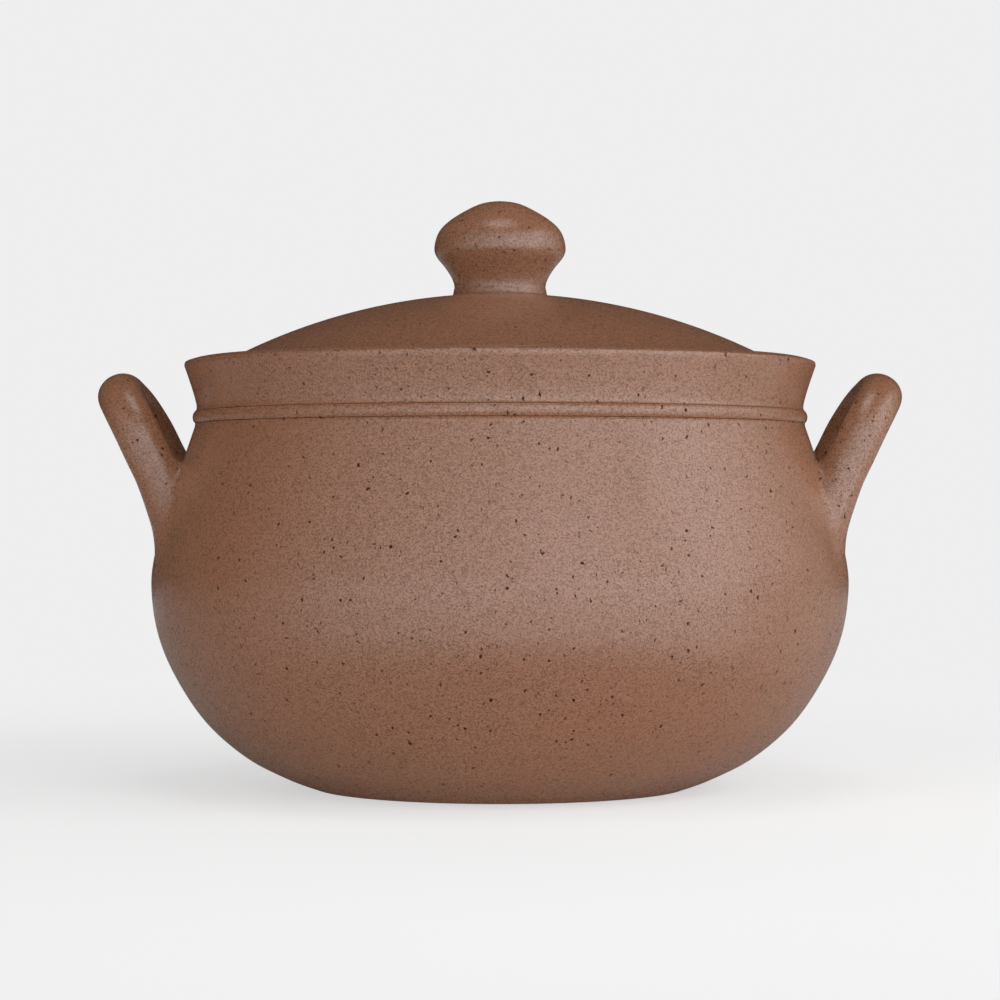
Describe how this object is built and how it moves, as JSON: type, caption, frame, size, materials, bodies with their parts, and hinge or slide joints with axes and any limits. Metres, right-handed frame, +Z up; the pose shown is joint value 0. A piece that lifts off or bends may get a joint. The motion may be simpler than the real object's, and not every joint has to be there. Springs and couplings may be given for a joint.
{
  "type": "clay pot",
  "caption": "Round-bellied stoneware casserole with a flared collar, upright ear handles and a domed lid with a mushroom knob.",
  "frame": {"origin": "centre of the underside of the flat foot, on the pot's axis", "axes": "+Z up along the pot's axis, +X towards the right handle seen from the front, -Y towards the viewer"},
  "size_m": [0.2996, 0.2598, 0.2191],
  "materials": {
    "clay_body": "unglazed speckled tan-brown stoneware, satin",
    "clay_handle": "unglazed speckled tan-brown stoneware, satin",
    "clay_lid": "unglazed speckled tan-brown stoneware, satin",
    "clay_inside": "unglazed stoneware, matte",
    "clay_foot": "unglazed stoneware, wiped flat, matte"
  },
  "bodies": {
    "pot": {"base_disc": "clay_foot", "belly_wall": "clay_body", "collar": "clay_body", "neck_rib": "clay_body", "lid_seat": "clay_inside", "handle_left": "clay_handle", "handle_right": "clay_handle"},
    "lid": {"lid_dome": "clay_lid", "lid_ring": "clay_inside", "lid_knob": "clay_lid"}
  },
  "joints": [
    {"name": "lid_lift", "type": "slide", "parent": "pot", "child": "lid", "axis": [0, 0, 1], "range_m": [0, 0.12]}
  ]
}
